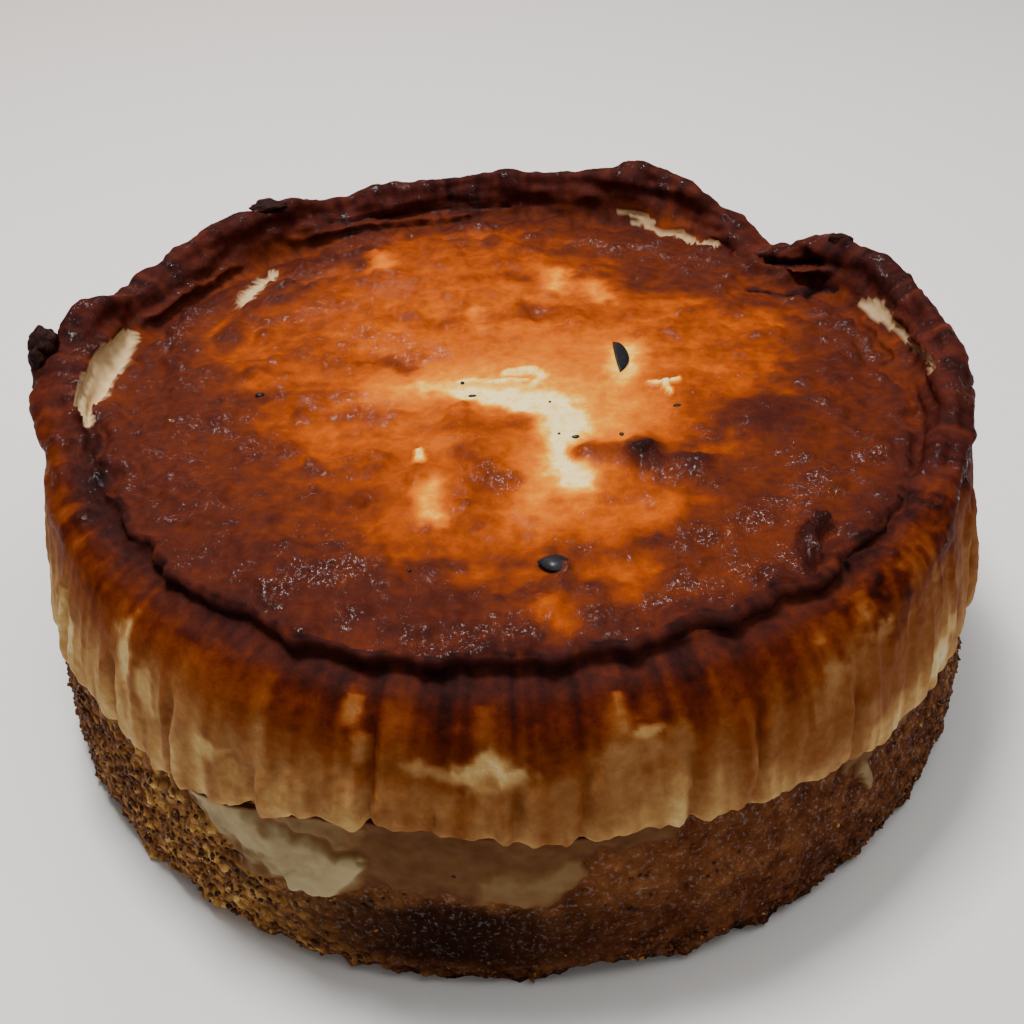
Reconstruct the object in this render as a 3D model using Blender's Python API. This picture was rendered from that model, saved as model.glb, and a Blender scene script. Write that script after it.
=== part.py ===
"""A whole baked cheesecake: a fluted custard with a raised, browned rim on a thick biscuit crumb base.

The cake stands on its base, centred on the Z axis. The front, where the rim is lowest, faces -Y.
Angles run anticlockwise from +X in degrees, so the front is at -90. Sizes are millimetres
until a mesh is made.
"""

import math

import bmesh
import bpy

MM = 0.001

# Driving dimensions
BASE_RADIUS = 95.0  # widest part of the crumb base
LIP_RADIUS = 94.0  # the custard where it overhangs the base
TOP_CENTRE_HEIGHT = 60.4  # the baked top in its middle
SHOULDER_HEIGHT = 57.0  # the rim at the front, where it has sunk to a shoulder
RIM_HEIGHT = 68.0  # the rim at the back
SEAM_HEIGHT = 34.0  # mean height of the seam between custard and base
SEAM_GAP = 0.4  # clearance between the two solids
SEAM_STEP_RADIUS = 86.0  # inside this radius the seam is level

# Unevenness
TOP_WAVE = 0.5  # slow rise and fall of the baked top
FLUTE_DEPTH = 0.9  # flutes pressed into the wall by the creased lining of the tin
OUTLINE_WAVE = 0.6  # the wall isn't quite round
CRUMB_WAVE = 0.45  # broken surface of the crumb base
FOLD_ANGLE, FOLD_WIDTH, FOLD_DEPTH = 41.0, 7.0, 5.0  # where the rim is tucked inwards
CHIP_ANGLE, CHIP_WIDTH, CHIP_DEPTH = -82.0, 4.0, 2.2  # crumb broken away at the foot

SEGMENTS = 120  # round the cake
TOP_RINGS = 7  # from the middle of the top to its edge
WALL_ROWS = 20  # from the edge of the top to the foot of the custard
SHARP_EDGE = 50.0  # degrees between two faces

# Height of the rim's crest, as (angle, height)
CREST_HEIGHTS = (
    (-180, 65.0), (-168, 63.0), (-155, 60.5), (-140, 58.0), (-110, 57.0), (-75, 57.0), (-50, 58.0),
    (-35, 60.5), (-20, 64.0), (-5, 67.0), (12, 68.2), (28, 68.6), (35, 65.5), (41, 61.5), (50, 65.0),
    (57, 68.0), (66, 71.0), (75, 68.6), (90, 67.3), (105, 67.5), (118, 65.8), (126, 70.0), (137, 69.3),
    (147, 67.6), (156, 66.2), (166, 69.4), (174, 66.8),
)

# Height of the custard's lower edge, as (angle, height)
LIP_HEIGHTS = (
    (-180, 31.0), (-160, 30.5), (-142, 30.5), (-130, 29.8), (-120, 32.2), (-111, 36.4), (-102, 38.0),
    (-92, 36.0), (-85, 34.8), (-76, 35.2), (-66, 33.3), (-55, 30.6), (-46, 27.8), (-34, 28.0), (-18, 30.0),
    (5, 32.5), (30, 34.5), (60, 32.5), (85, 35.0), (115, 36.0), (145, 33.0), (165, 31.5),
)

# From the edge of the top, over the rim and down the wall, one row for each point: its radius and
# height at the front, the same at the back, and how far it follows the crest, the lower edge,
# the fold and the flutes
WALL_POINTS = (
    (78.4, 61.0, 76.0, 57.6, 0.0, 0.0, 0.6, 0.0),
    (79.3, 59.9, 78.2, 56.6, 0.0, 0.0, 0.8, 0.0),
    (79.7, 58.4, 80.2, 58.8, 0.2, 0.0, 1.0, 0.0),
    (81.6, 57.5, 81.8, 63.0, 0.6, 0.0, 1.0, 0.0),
    (84.2, 56.8, 83.4, 66.6, 0.95, 0.0, 1.0, 0.0),
    (86.6, 55.4, 85.8, 68.0, 1.0, 0.0, 0.8, 0.1),
    (88.6, 53.2, 88.0, 66.6, 0.9, 0.0, 0.4, 0.2),
    (90.2, 50.4, 89.2, 63.0, 0.6, 0.0, 0.2, 0.3),
    (91.4, 47.2, 89.8, 58.0, 0.3, 0.0, 0.1, 0.4),
    (92.4, 44.0, 91.2, 50.0, 0.1, 0.2, 0.0, 0.5),
    (93.4, 40.0, 93.0, 42.5, 0.0, 0.6, 0.0, 0.8),
    (LIP_RADIUS, 37.0, LIP_RADIUS, 38.0, 0.0, 0.9, 0.0, 1.0),
    (LIP_RADIUS, 35.2, LIP_RADIUS, 35.2, 0.0, 1.0, 0.0, 1.0),
    (LIP_RADIUS - 1.0, SEAM_HEIGHT, LIP_RADIUS - 1.0, SEAM_HEIGHT, 0.0, 1.0, 0.0, 0.8),
)

# Outside of the crumb base, as (radius, share of the seam's height there)
BASE_POINTS = (
    (BASE_RADIUS - 1.8, 0.0), (BASE_RADIUS - 0.4, 0.04), (BASE_RADIUS, 0.13), (BASE_RADIUS, 0.28),
    (BASE_RADIUS - 0.2, 0.46), (BASE_RADIUS - 1.0, 0.66), (BASE_RADIUS - 2.0, 0.84),
    (BASE_RADIUS - 2.8, 1.0),
)
BASE_FOLLOWS = 0.8  # share of the wall's unevenness that the base has too


def hermite(before, start, end, after, share):
    """A smooth value between start and end, from the values on either side of them."""
    slope_in, slope_out = (end - before) / 2, (after - start) / 2
    square, cube = share * share, share**3
    return (
        (2 * cube - 3 * square + 1) * start
        + (cube - 2 * square + share) * slope_in
        + (3 * square - 2 * cube) * end
        + (cube - square) * slope_out
    )


def around(points, angle):
    """The value at an angle of a closed curve through (angle, value) points."""
    turned = (angle - points[0][0]) % 360 + points[0][0]
    count = len(points)
    index = max(i for i in range(count) if points[i][0] <= turned)
    next_angle = points[index + 1][0] if index + 1 < count else points[0][0] + 360
    share = (turned - points[index][0]) / (next_angle - points[index][0])
    values = [points[(index + step) % count][1] for step in (-1, 0, 1, 2)]
    return hermite(*values, share)


def along(values, share):
    """The value at a share, 0 to 1, of the way along an open curve through evenly spaced values."""
    place = share * (len(values) - 1)
    index = min(int(place), len(values) - 2)
    near = [values[min(max(index + step, 0), len(values) - 1)] for step in (-1, 0, 1, 2)]
    return hermite(*near, place - index)


def waves(angle, *terms):
    """A sum of waves round the cake, each (count, share, start in radians)."""
    return sum(share * math.sin(count * math.radians(angle) + start) for count, share, start in terms)


def bump(angle, centre, width):
    """1 at the centre angle, falling to 0 either side of it."""
    distance = (angle - centre + 180) % 360 - 180
    return math.exp(-((distance / width) ** 2))


def outline(angle):
    return OUTLINE_WAVE * waves(angle, (2, 0.4, 0.6), (5, 0.3, 2.0), (9, 0.3, 0.2))


def flute(angle):
    return FLUTE_DEPTH * waves(angle, (23, 0.3, 0.0), (31, 0.4, 1.0), (44, 0.3, 2.4))


def crumb(angle, height):
    return CRUMB_WAVE * waves(angle, (17, 0.3, height), (29, 0.35, 3 * height), (41, 0.35, 1 + 5 * height))


def wall(angle):
    """The custard from the edge of its top to its foot, as (radius, height) pairs."""
    crest, lip = around(CREST_HEIGHTS, angle), around(LIP_HEIGHTS, angle)
    rise = min(max((crest - SHOULDER_HEIGHT) / (RIM_HEIGHT - SHOULDER_HEIGHT), 0.0), 1.0)
    over = crest - (SHOULDER_HEIGHT + rise * (RIM_HEIGHT - SHOULDER_HEIGHT))
    tuck = FOLD_DEPTH * bump(angle, FOLD_ANGLE, FOLD_WIDTH)
    radii, heights = [], []
    for front_r, front_z, back_r, back_z, by_crest, by_lip, by_fold, by_flute in WALL_POINTS:
        radius = front_r + (back_r - front_r) * rise
        height = front_z + (back_z - front_z) * rise
        radii.append(radius - by_fold * tuck + by_flute * flute(angle) + outline(angle))
        heights.append(height + by_crest * over + by_lip * (lip - SEAM_HEIGHT))
    shares = [row / (WALL_ROWS - 1) for row in range(WALL_ROWS)]
    return [(along(radii, share), along(heights, share)) for share in shares]


def top_height(x, y):
    """The baked top, away from its edge."""
    swell = math.sin(x / 17 + 0.5) * math.cos(y / 14) + 0.6 * math.sin(x / 9 - y / 11)
    return TOP_CENTRE_HEIGHT + TOP_WAVE * swell


def seam(angle, radius):
    """Height of the seam: level inside, and running straight to the custard's lower edge outside."""
    foot_radius, foot_height = wall(angle)[-1]
    reach = max(0.0, (radius - SEAM_STEP_RADIUS) / (foot_radius - SEAM_STEP_RADIUS))
    return SEAM_HEIGHT + (foot_height - SEAM_HEIGHT) * reach


def spun_rings(rows):
    """Turns rows of (radius, height) functions of the angle into rings of points."""
    angles = [-180 + 360 * step / SEGMENTS for step in range(SEGMENTS)]
    rings = []
    for row in rows:
        ring = []
        for angle in angles:
            radius, height = row(angle)
            turn = math.radians(angle)
            ring.append((radius * math.cos(turn), radius * math.sin(turn), height))
        rings.append(ring)
    return rings


def centred(*layers):
    """Moves the rings of all layers together, to centre their common box on the Z axis."""
    points = [point for rings in layers for ring in rings for point in ring]
    off_x, off_y = ((min(p[axis] for p in points) + max(p[axis] for p in points)) / 2 for axis in (0, 1))
    return [[[(x - off_x, y - off_y, z) for x, y, z in ring] for ring in rings] for rings in layers]


def solid(name, rings, middle_height, material, slant_back=False):
    """A closed solid through rings listed from the top's middle to the underside, which is one flat face.

    The two solids split the seam's four-sided cells along the same line, so their gap stays even.
    """
    shape = bmesh.new()
    middle = shape.verts.new((0.0, 0.0, middle_height * MM))
    loops = [[shape.verts.new([c * MM for c in point]) for point in ring] for ring in rings]
    for step in range(SEGMENTS):
        after = (step + 1) % SEGMENTS
        shape.faces.new((middle, loops[0][step], loops[0][after]))
        for upper, lower in zip(loops, loops[1:]):
            cell = [upper[step], lower[step], lower[after], upper[after]]
            split = 1 if slant_back else 0
            shape.faces.new((cell[split], cell[split + 1], cell[split + 2]))
            shape.faces.new((cell[split], cell[split + 2], cell[split - 1]))
    shape.faces.new(reversed(loops[-1]))
    mesh = bpy.data.meshes.new(name)
    shape.to_mesh(mesh)
    shape.free()
    mesh.materials.append(material)
    mesh.shade_smooth()
    mesh.set_sharp_from_angle(angle=math.radians(SHARP_EDGE))
    made = bpy.data.objects.new(name, mesh)
    bpy.context.scene.collection.objects.link(made)
    return made


def baked_material(name, colour, roughness):
    material = bpy.data.materials.new(name)
    material.use_nodes = True
    shader = material.node_tree.nodes["Principled BSDF"]
    shader.inputs["Base Color"].default_value = (*colour, 1.0)
    shader.inputs["Roughness"].default_value = roughness
    shader.inputs["Metallic"].default_value = 0.0
    return material


def custard_rows():
    """The custard's rings: the top, the rim and wall, and the foot down to the level part of the seam."""

    def top_row(share):
        def place(angle):
            edge_radius, edge_height = wall(angle)[0]
            radius, turn = share * edge_radius, math.radians(angle)
            settle = max(0.0, (share - 0.6) / 0.4) ** 2
            inner = top_height(radius * math.cos(turn), radius * math.sin(turn))
            return radius, inner + (edge_height - inner) * settle

        return place

    tops = [top_row((ring + 1) / (TOP_RINGS + 1)) for ring in range(TOP_RINGS)]
    walls = [lambda angle, row=row: wall(angle)[row] for row in range(WALL_ROWS)]
    inner_foot = [lambda angle: (SEAM_STEP_RADIUS, SEAM_HEIGHT)]
    return tops + walls + inner_foot


def base_rows():
    """The crumb base's rings: its hidden top, then its broken outside down to the foot."""

    def outside(radius, share):
        def place(angle):
            chip = CHIP_DEPTH * bump(angle, CHIP_ANGLE, CHIP_WIDTH) * max(0.0, 1 - 6 * share)
            rough = crumb(angle, share * math.pi) * math.sin(math.pi * min(1.0, 1.1 - share))
            broken = radius - chip + rough + BASE_FOLLOWS * outline(angle)
            return broken, share * (seam(angle, broken) - SEAM_GAP)

        return place

    inner_top = [lambda angle: (SEAM_STEP_RADIUS, SEAM_HEIGHT - SEAM_GAP)]
    return inner_top + [outside(radius, share) for radius, share in reversed(BASE_POINTS)]


def main():
    for old in list(bpy.data.objects):
        bpy.data.objects.remove(old)
    custard = baked_material("baked_custard", (0.42, 0.17, 0.045), 0.4)
    biscuit = baked_material("biscuit_crumb", (0.12, 0.045, 0.014), 0.55)
    filling, base = centred(spun_rings(custard_rows()), spun_rings(base_rows()))
    solid("custard_filling", filling, top_height(0, 0), custard)
    solid("crumb_base", base, SEAM_HEIGHT - SEAM_GAP, biscuit, slant_back=True)


main()
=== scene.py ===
"""The look of a whole baked cheesecake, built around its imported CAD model.

Lengths are millimetres until a mesh is made. Angles are degrees anticlockwise from the cake's right, so
its front is at -90.
"""

import math

import bmesh
import bpy
import numpy as np
from mathutils import Matrix, Vector, noise


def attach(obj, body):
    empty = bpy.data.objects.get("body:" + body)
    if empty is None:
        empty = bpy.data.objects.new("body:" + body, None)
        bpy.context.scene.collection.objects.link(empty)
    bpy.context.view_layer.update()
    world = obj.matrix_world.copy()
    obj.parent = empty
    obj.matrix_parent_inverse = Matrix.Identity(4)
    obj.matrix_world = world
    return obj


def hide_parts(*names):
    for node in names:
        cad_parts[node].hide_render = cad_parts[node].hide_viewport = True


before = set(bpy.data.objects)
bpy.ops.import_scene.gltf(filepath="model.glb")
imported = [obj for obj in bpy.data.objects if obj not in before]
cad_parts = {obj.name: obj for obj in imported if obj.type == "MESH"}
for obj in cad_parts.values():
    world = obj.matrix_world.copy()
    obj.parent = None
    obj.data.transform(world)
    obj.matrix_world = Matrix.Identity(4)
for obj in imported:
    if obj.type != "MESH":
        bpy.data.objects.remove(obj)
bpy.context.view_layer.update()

MM = 0.001

# Camera, as the cake was seen
CAMERA_PLACE = Vector((0.0, -220.0, 195.1))
CAMERA_DOWN, CAMERA_TURN, CAMERA_ROLL = 37.33, 0.37, -1.98
LENS, SENSOR = 45.7, 36.0
TOP_LEVEL = 60.0  # features of the top are listed where they are seen on this level

# Area lamps, as (name, watts, size, place, colour), in metres
LAMPS = (
    ("key", 7.5, 0.2, (-0.12, 0.14, 0.78), "#ffffff"), ("top", 4, 0.8, (0.25, 0, 0.9), "#ffffff"),
    ("front", 0.8, 0.9, (0.3, -0.9, 0.6), "#ffffff"), ("glint", 2, 0.12, (-0.25, 0.85, 0.6), "#ffd0b8"),
)

# Sizes shared with the CAD model
BASE_RADIUS, LIP_RADIUS = 95.0, 94.0
TOP_CENTRE_HEIGHT, SHOULDER_HEIGHT, RIM_HEIGHT, SEAM_HEIGHT = 60.4, 57.0, 68.0, 34.0
SEAM_GAP, SEAM_STEP_RADIUS = 0.4, 86.0
FOLD_ANGLE, FOLD_WIDTH, FOLD_DEPTH = 41.0, 7.0, 5.0

# Radii of the wall and the top's edge, for the patterns on them, and of the rim's inner side
WALL_RADIUS, EDGE_RADIUS, INNER_RADIUS = 92.0, 78.0, 84.5
RIM_STARTS, RIM_STANDS = 58.0, 64.0  # crest heights between which the rim comes to stand up
LOWEST_CREST = 59.0  # browning is measured down from the crest, and from here where it is lower

# Where the side is flatter than a circle, and where the rim bulges out, as (angle, half width, mm)
FLAT_SIDE_ANGLE, FLAT_SIDE_DEPTH = -155.0, 2.4
RIM_BULGES = ((177.0, 10.0, 5.2), (17.0, 7.0, 2.6))

# Mesh fineness
TOP_CELLS = 200  # across the baked top
WALL_ROWS = 70  # from the top's edge to the custard's foot
PROFILE_STEPS = 240  # steps that the wall's outline is measured in
BASE_STEPS, BASE_ROWS = 960, 64
RUN_STEPS, RUN_ROWS = 330, 60
UPPER_ROWS = 0.42  # share of the wall's rows that strokes on the top and the rim may reach

# Angles between which custard may have run down, and how low, as a share of the seam's height
RUN_START, RUN_END, RUN_FOOT = -128, -34, 0.35
RUN_SUNK, RUN_BACK, FLAKE_SUNK = 1.5, 3.0, 0.1  # mm inside the surface, so that the edges are buried

# Height of the rim's crest, as (angle, height)
CREST_HEIGHTS = (
    (-180, 65), (-168, 63), (-155, 60.5), (-140, 58), (-110, 57), (-75, 57), (-50, 58), (-35, 60.5),
    (-20, 64), (-5, 67), (12, 68.2), (28, 68.6), (35, 65.5), (41, 61.5), (50, 65), (57, 68), (66, 71),
    (75, 68.6), (90, 67.3), (105, 67.5), (118, 65.8), (126, 70), (137, 69.3), (147, 67.6), (156, 66.2),
    (166, 69.4), (174, 66.8),
)

# Height of the custard's lower edge, as (angle, height)
LIP_HEIGHTS = (
    (-180, 31), (-160, 30.5), (-142, 30.5), (-130, 29.8), (-120, 32.2), (-111, 36.4), (-102, 38),
    (-92, 36), (-85, 34.8), (-76, 35.2), (-66, 33.3), (-55, 30.6), (-46, 27.8), (-34, 28), (-18, 30),
    (5, 32.5), (30, 34.5), (60, 32.5), (85, 35), (115, 36), (145, 33), (165, 31.5),
)

# From the edge of the top, over the rim and down the wall: radius and height at the front, the same at
# the back, and how far each point follows the crest, the lower edge and the fold
WALL_POINTS = (
    (78.4, 61, 76, 58.4, 0, 0, 0.6),
    (79.5, 60.5, 77.8, 58.2, 0, 0, 0.7),
    (79.6, 59.6, 79.2, 58.8, 0.1, 0, 0.8),
    (79.2, 58.7, 80.4, 60.2, 0.2, 0, 1),
    (80, 57.9, 81.2, 62, 0.4, 0, 1),
    (81.8, 57.3, 82, 64, 0.6, 0, 1),
    (84.2, 56.4, 83.4, 66.8, 0.95, 0, 1),
    (86.4, 55, 85.8, 68, 1, 0, 0.8),
    (88.6, 53.2, 88, 66.6, 0.9, 0, 0.4),
    (90.2, 50.4, 89.2, 63, 0.6, 0, 0.2),
    (91.4, 47.2, 89.8, 58, 0.3, 0, 0.1),
    (92.4, 44, 91.2, 50, 0.1, 0.2, 0),
    (93.4, 40, 93, 42.5, 0, 0.6, 0),
    (LIP_RADIUS, 37, LIP_RADIUS, 38, 0, 0.9, 0),
    (LIP_RADIUS, 35, LIP_RADIUS, 35, 0, 1, 0),
    (LIP_RADIUS - 1, SEAM_HEIGHT, LIP_RADIUS - 1, SEAM_HEIGHT, 0, 1, 0),
)

# Outside of the crumb base, as (share of the seam's height there, radius)
BASE_PROFILE = (
    (0, 93.6), (0.04, 94.8), (0.13, 95.1), (0.28, 95.1), (0.46, 94.8), (0.66, 94), (0.84, 93), (1, 92.2),
)

# How far the top's edge is moved outwards, as (angle, mm)
EDGE_SHIFTS = (
    (-180, 1.9), (-168, 1.5), (-154, 0.3), (-144, -0.2), (-134, 0.4), (-124, 0.3), (-112, 0),
    (-100, 0.6), (-88, 0.8), (-76, -1), (-64, -1.4), (-52, 0.6), (-40, 1.8), (-25, 1.2), (-5, 0),
    (40, 0), (90, 0), (140, 0), (165, 0.4),
)

# How far out the top stays orange, as (angle, radius)
ORANGE_REACH = (
    (-180, 50), (-160, 46), (-142, 48), (-125, 53), (-108, 57), (-90, 62), (-75, 66), (-60, 54),
    (-48, 50), (-35, 50), (-18, 50), (0, 56), (18, 64), (32, 56), (46, 50), (60, 52), (76, 60),
    (90, 66), (100, 74), (108, 76), (118, 68), (132, 64), (146, 62), (160, 60), (170, 55),
)

# Paths of strokes on the top are (x, y, half width). Each has the browning it turns the skin to, from 0,
# cream, to 1, black, and how much of its half width is soft edge.
TOP_STROKES = (
    ("warm heart", ((-24, -2, 9), (-8, 2, 14), (12, 4, 19), (22, -10, 18), (14, -28, 16),
     (6, -44, 10)), 0.27, 1),
    ("golden heart", ((-18, -1, 6), (-6, 0, 8.5), (8, 0, 11), (17, -10, 11), (14, -22, 10),
     (8, -38, 8)), 0.17, 1),
    ("golden right of the core", ((22, -22, 5), (20, -12, 6), (22, -2, 6)), 0.2, 1),
    ("pale heart", ((-15, -1, 4), (-6, -3, 6), (4, -5.5, 8), (11, -12, 8), (13, -22, 7.5),
     (12, -39, 6)), 0.1, 0.8),
    ("pale core", ((-9, -4, 2.8), (2, -6.5, 5), (9, -10, 6.2), (13, -18, 6), (12, -28, 5),
     (12, -38, 3.6), (13, -42, 1.6)), 0, 0.6),
    ("pale patch by the long flake", ((25.5, 10, 7), (24, 1, 6)), 0.08, 0.9),
    ("golden patch, back", ((14, 45, 6), (13, 39, 6)), 0.15, 1),
    ("golden patch, back right", ((21, 39, 5), (23, 33, 5)), 0.2, 1),
    ("golden patch, back left", ((-26, 56, 6), (-26, 51, 5)), 0.24, 1),
    ("golden patch, front left", ((-13, -34, 4), (-13, -43, 5.5)), 0.13, 0.9),
    ("golden pit", ((-5, 29, 3.4), (-4.5, 24, 4.4)), 0.2, 0.9),
    ("golden left of the middle", ((-22, 20, 9), (-8, 14, 9)), 0.37, 1),
    ("golden front right", ((16, -49, 8), (26, -44, 8)), 0.4, 1),
    ("golden front edge", ((6, -68, 5), (8, -71, 5)), 0.42, 1),
    ("brown smear left of the core", ((-8, -16, 6), (3, -16, 4)), 0.52, 1),
    ("brown patch front of the core", ((-6, -25, 5), (-2, -33, 6)), 0.56, 1),
    ("brown streak behind the middle", ((-16, 23, 4), (6, 27, 4), (24, 24, 5)), 0.5, 1),
    ("brown pit, back", ((5, 32, 2.6), (8, 24, 2.6)), 0.58, 1),
    ("brown pit, far back", ((3, 46, 2.6), (7, 43, 2.2)), 0.58, 1),
    ("dark speck pair", ((-29, 9, 2), (-24, 10, 2.6), (-18, 6, 2.6)), 0.6, 1),
    ("front left hollow", ((-32, -41, 6), (-25, -38, 7)), 0.6, 1),
    ("front left streak", ((-31, -44, 2.4), (-23, -52, 2.6)), 0.62, 1),
    ("right brown patch", ((46, -14, 8), (58, -20, 7)), 0.66, 1),
    ("dome's smear", ((30, -30, 6), (42, -32, 6), (62, -28, 7)), 0.64, 1),
    ("reddish blister left of the dome", ((14, -26, 3.6), (20, -26, 4)), 0.54, 1),
    ("front band", ((-60, -40, 12), (-30, -62, 10), (-6, -66, 5)), 0.72, 1),
    ("left band", ((-68, 18, 10), (-66, -20, 15), (-50, -46, 12)), 0.71, 1),
    ("back left crust", ((-66, 40, 6), (-48, 62, 7), (-28, 68, 6)), 0.66, 1),
    ("back crust", ((-14, 76, 6), (12, 72, 7), (30, 60, 7), (50, 46, 8)), 0.7, 1),
    ("right crust", ((73, 26, 7), (74, 8, 8), (68, -14, 7), (62, -34, 8)), 0.7, 1),
    ("front right crust", ((56, -46, 7), (42, -58, 7), (26, -66, 5)), 0.66, 1),
)

# Where the skin has torn and shows pale custard, as strokes with their depth and how bare they are
TOP_TEARS = (
    ("left tear", ((-78.6, 25, 1.6), (-79, 20, 3.6), (-79.6, 8, 3.9), (-79.2, -2, 3.8),
     (-78.6, -9, 1.4)), 1.1, 1),
    ("small tear", ((-56, 36, 1.2), (-54.5, 42, 2), (-51, 50, 1.5)), 0.8, 0.9),
    ("right tear", ((79, 25, 2.4), (81, 19, 1.8), (82.5, 12, 1), (85, 4, 0.8),
     (85.5, -4, 0.6)), 0.8, 0.7),
    ("back tear", ((31, 77, 1), (35, 73, 2.2), (38, 70, 1.4), (33, 69, 0.8)), 0.5, 0.65),
    ("back right tear", ((37, 68, 1), (43, 62, 1.7), (50, 54, 0.8)), 0.6, 0.65),
)

# Folds of the rim's skin, as strokes with their height and browning. The hollow behind the lip and the
# shadow before it are dark with painted shade.
RIM_FOLDS = (
    ("shaded hollow behind the lip", ((60, 49, 2.4), (66, 46, 2.8), (71, 47, 2.2)), -2.2, 0.97),
    ("rolled lip", ((56, 44.5, 2.4), (63, 38.5, 3.2), (74, 41, 2.6)), 2.8, 0.72),
    ("shadow before the lip", ((56, 35, 1.6), (63, 31, 2.6), (72, 33, 2)), -0.6, 0.95),
    ("crusty ridge, left", ((-75, 32, 2.4), (-68, 44, 3), (-60, 55, 2.4)), 1.5, 0.66),
    ("back ridge", ((-48, 68, 2.6), (-24, 76, 2.6), (-6, 77, 2)), 1.3, 0.68),
    ("dark fold, back", ((-40, 76, 1.4), (-16, 82, 1.6), (4, 82, 1.2)), -1, 0.84),
    ("right ridge", ((84, 20, 2.4), (87, 4, 2.6), (84, -14, 2.2)), 1.2, 0.7),
    ("inner ridge, right", ((76, 18, 1.8), (79, 2, 2), (76, -16, 1.8)), 0.9, 0.64),
    ("tuft", ((47, -59, 1.8), (50, -53, 2.8), (53, -50, 1.6)), 3, 0.84),
)

# Raised bits of curled, pale skin
TOP_CURLS = (
    ("curl", ((30, -3, 1.7), (32, -4, 1.5), (32.5, -7.5, 1)), 0.8),
    ("curl's arm", ((32, -3.5, 1.2), (35.5, -1.8, 0.9)), 0.6),
    ("fleck", ((-15, -23, 0.8), (-15, -26, 1.6)), 0.4),
    ("wrinkle", ((1, 2.5, 1.4), (6, 3.6, 1.8), (8.5, 1.2, 1.4), (6.5, -2.5, 1.2)), 0.3),
    ("second wrinkle", ((-8, 0.4, 0.9), (5, 0.2, 0.9)), 0.22),
)

# Blisters and pits of the top, as (x, y, radius, height, browning in the middle)
TOP_BLISTERS = (
    (25.5, -27.5, 3.8, 3, 1), (33.5, -31, 3.2, 1.4, 0.84), (17.5, -26.5, 3.6, 1.2, 0.56),
    (51, -17, 6, 0.9, 0.78), (9, -41, 2.6, 0.6, 0.42), (13, -40.5, 2.4, 0.6, 0.44),
    (13, 9, 2.1, -0.5, 0.4), (5, 12, 1.9, -0.4, 0.36), (20, -7, 1.8, -0.3, 0.3),
    (-27, 10, 2.8, -0.8, 0.54), (-18, 6.5, 2.6, -0.7, 0.56), (7.5, 27, 2.2, -0.7, 0.58),
    (5, 44.5, 2, -0.6, 0.58), (-28, -40, 5, -1.3, 0.6), (-4.5, 26, 2.8, -0.8, 0.3),
    (-10, -38, 2, -0.5, 0.42), (-4, -26, 1.8, 0.4, 0.5), (-47, -3, 1.6, 0.5, 0.7),
    (-26, -57, 1.8, -0.5, 0.6),
)

# Where the skin has a sparkling, sugary crust
TOP_CRUSTS = (
    ((-70, 22, 6), (-64, 46, 6), (-46, 62, 8), (-28, 68, 7)), ((-50, 46, 4), (-34, 50, 4)),
    ((-52, 26, 3), (-28, 37, 4), (-16, 44, 3)), ((-30, 20, 8), (-14, 12, 7)),
    ((-34, -4, 6), (-22, -8, 7)), ((0, 74, 6), (-8, 64, 5)), ((18, 60, 5), (34, 54, 7), (48, 46, 6)),
    ((70, 20, 6), (72, 6, 7)), ((66, -30, 4), (46, -45, 6), (30, -52, 4)),
    ((52, -52, 4), (34, -64, 5), (14, -70, 3)), ((-14, -75, 3), (0, -73, 3)),
    ((28, -34, 5), (35, -32, 3)), ((-38, -60, 4), (-22, -56, 3)), ((-4, -30, 5), (2, -34, 4)),
)

# How far the browning runs down the wall below its crest, as (angle, mm)
BROWN_REACH = (
    (-180, 12), (-165, 12), (-150, 12.5), (-138, 10.5), (-126, 9), (-118, 9.5), (-110, 9.5),
    (-103, 11.5), (-97, 13), (-91, 11), (-86, 11), (-78, 7.5), (-72, 10), (-66, 12.5), (-60, 11.5),
    (-55, 11), (-44, 12), (-36, 13), (-25, 15), (0, 14), (25, 16), (50, 13), (75, 15), (100, 17),
    (120, 13), (140, 15), (160, 12),
)

# Patches of the wall, as (angle, height, half width in degrees, half height, browning)
WALL_PATCHES = (
    (-93, 47.6, 4.6, 2.6, 0), (-98.5, 48.4, 2.2, 1.6, 0.2), (-135.5, 48.5, 1.6, 5, 0.05),
    (-132, 45.5, 1.6, 4, 0.12), (-122, 42.5, 2.6, 3, 0.08), (-118.5, 40, 3, 2.6, 0.2),
    (-106, 55, 1.2, 2.6, 0.34), (-104.5, 50.5, 1.2, 3.4, 0.3), (-78, 49.6, 3, 3.2, 0.31),
    (-74, 49, 2, 3.2, 0.34), (-77.4, 52, 1.8, 1.1, 0.12), (-79.5, 56.3, 0.8, 3, 0.36),
    (-62.5, 43, 3, 4, 0.46), (-56, 50.5, 1.8, 3.4, 0.3), (-47, 51, 1.4, 2.2, 0.24),
    (-49.5, 43, 4, 3, 0.56), (-36, 33.5, 3, 3.6, 0.04), (-33, 38, 2.4, 3, 0.12), (-85, 42, 9, 5, 0.37),
    (-98, 42, 4, 4, 0.36), (-46, 42, 9, 8, 0.52), (-57, 40, 5, 6, 0.48), (-150, 42, 2.4, 7, 0.1),
    (160, 46, 3, 5, 0.1), (60, 45, 4, 4, 0.1), (132, 42, 3, 5, 0.12), (15, 42, 3, 5, 0.14),
    (-8, 38, 3, 5, 0.16), (100, 44, 3, 4, 0.16),
)

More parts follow.
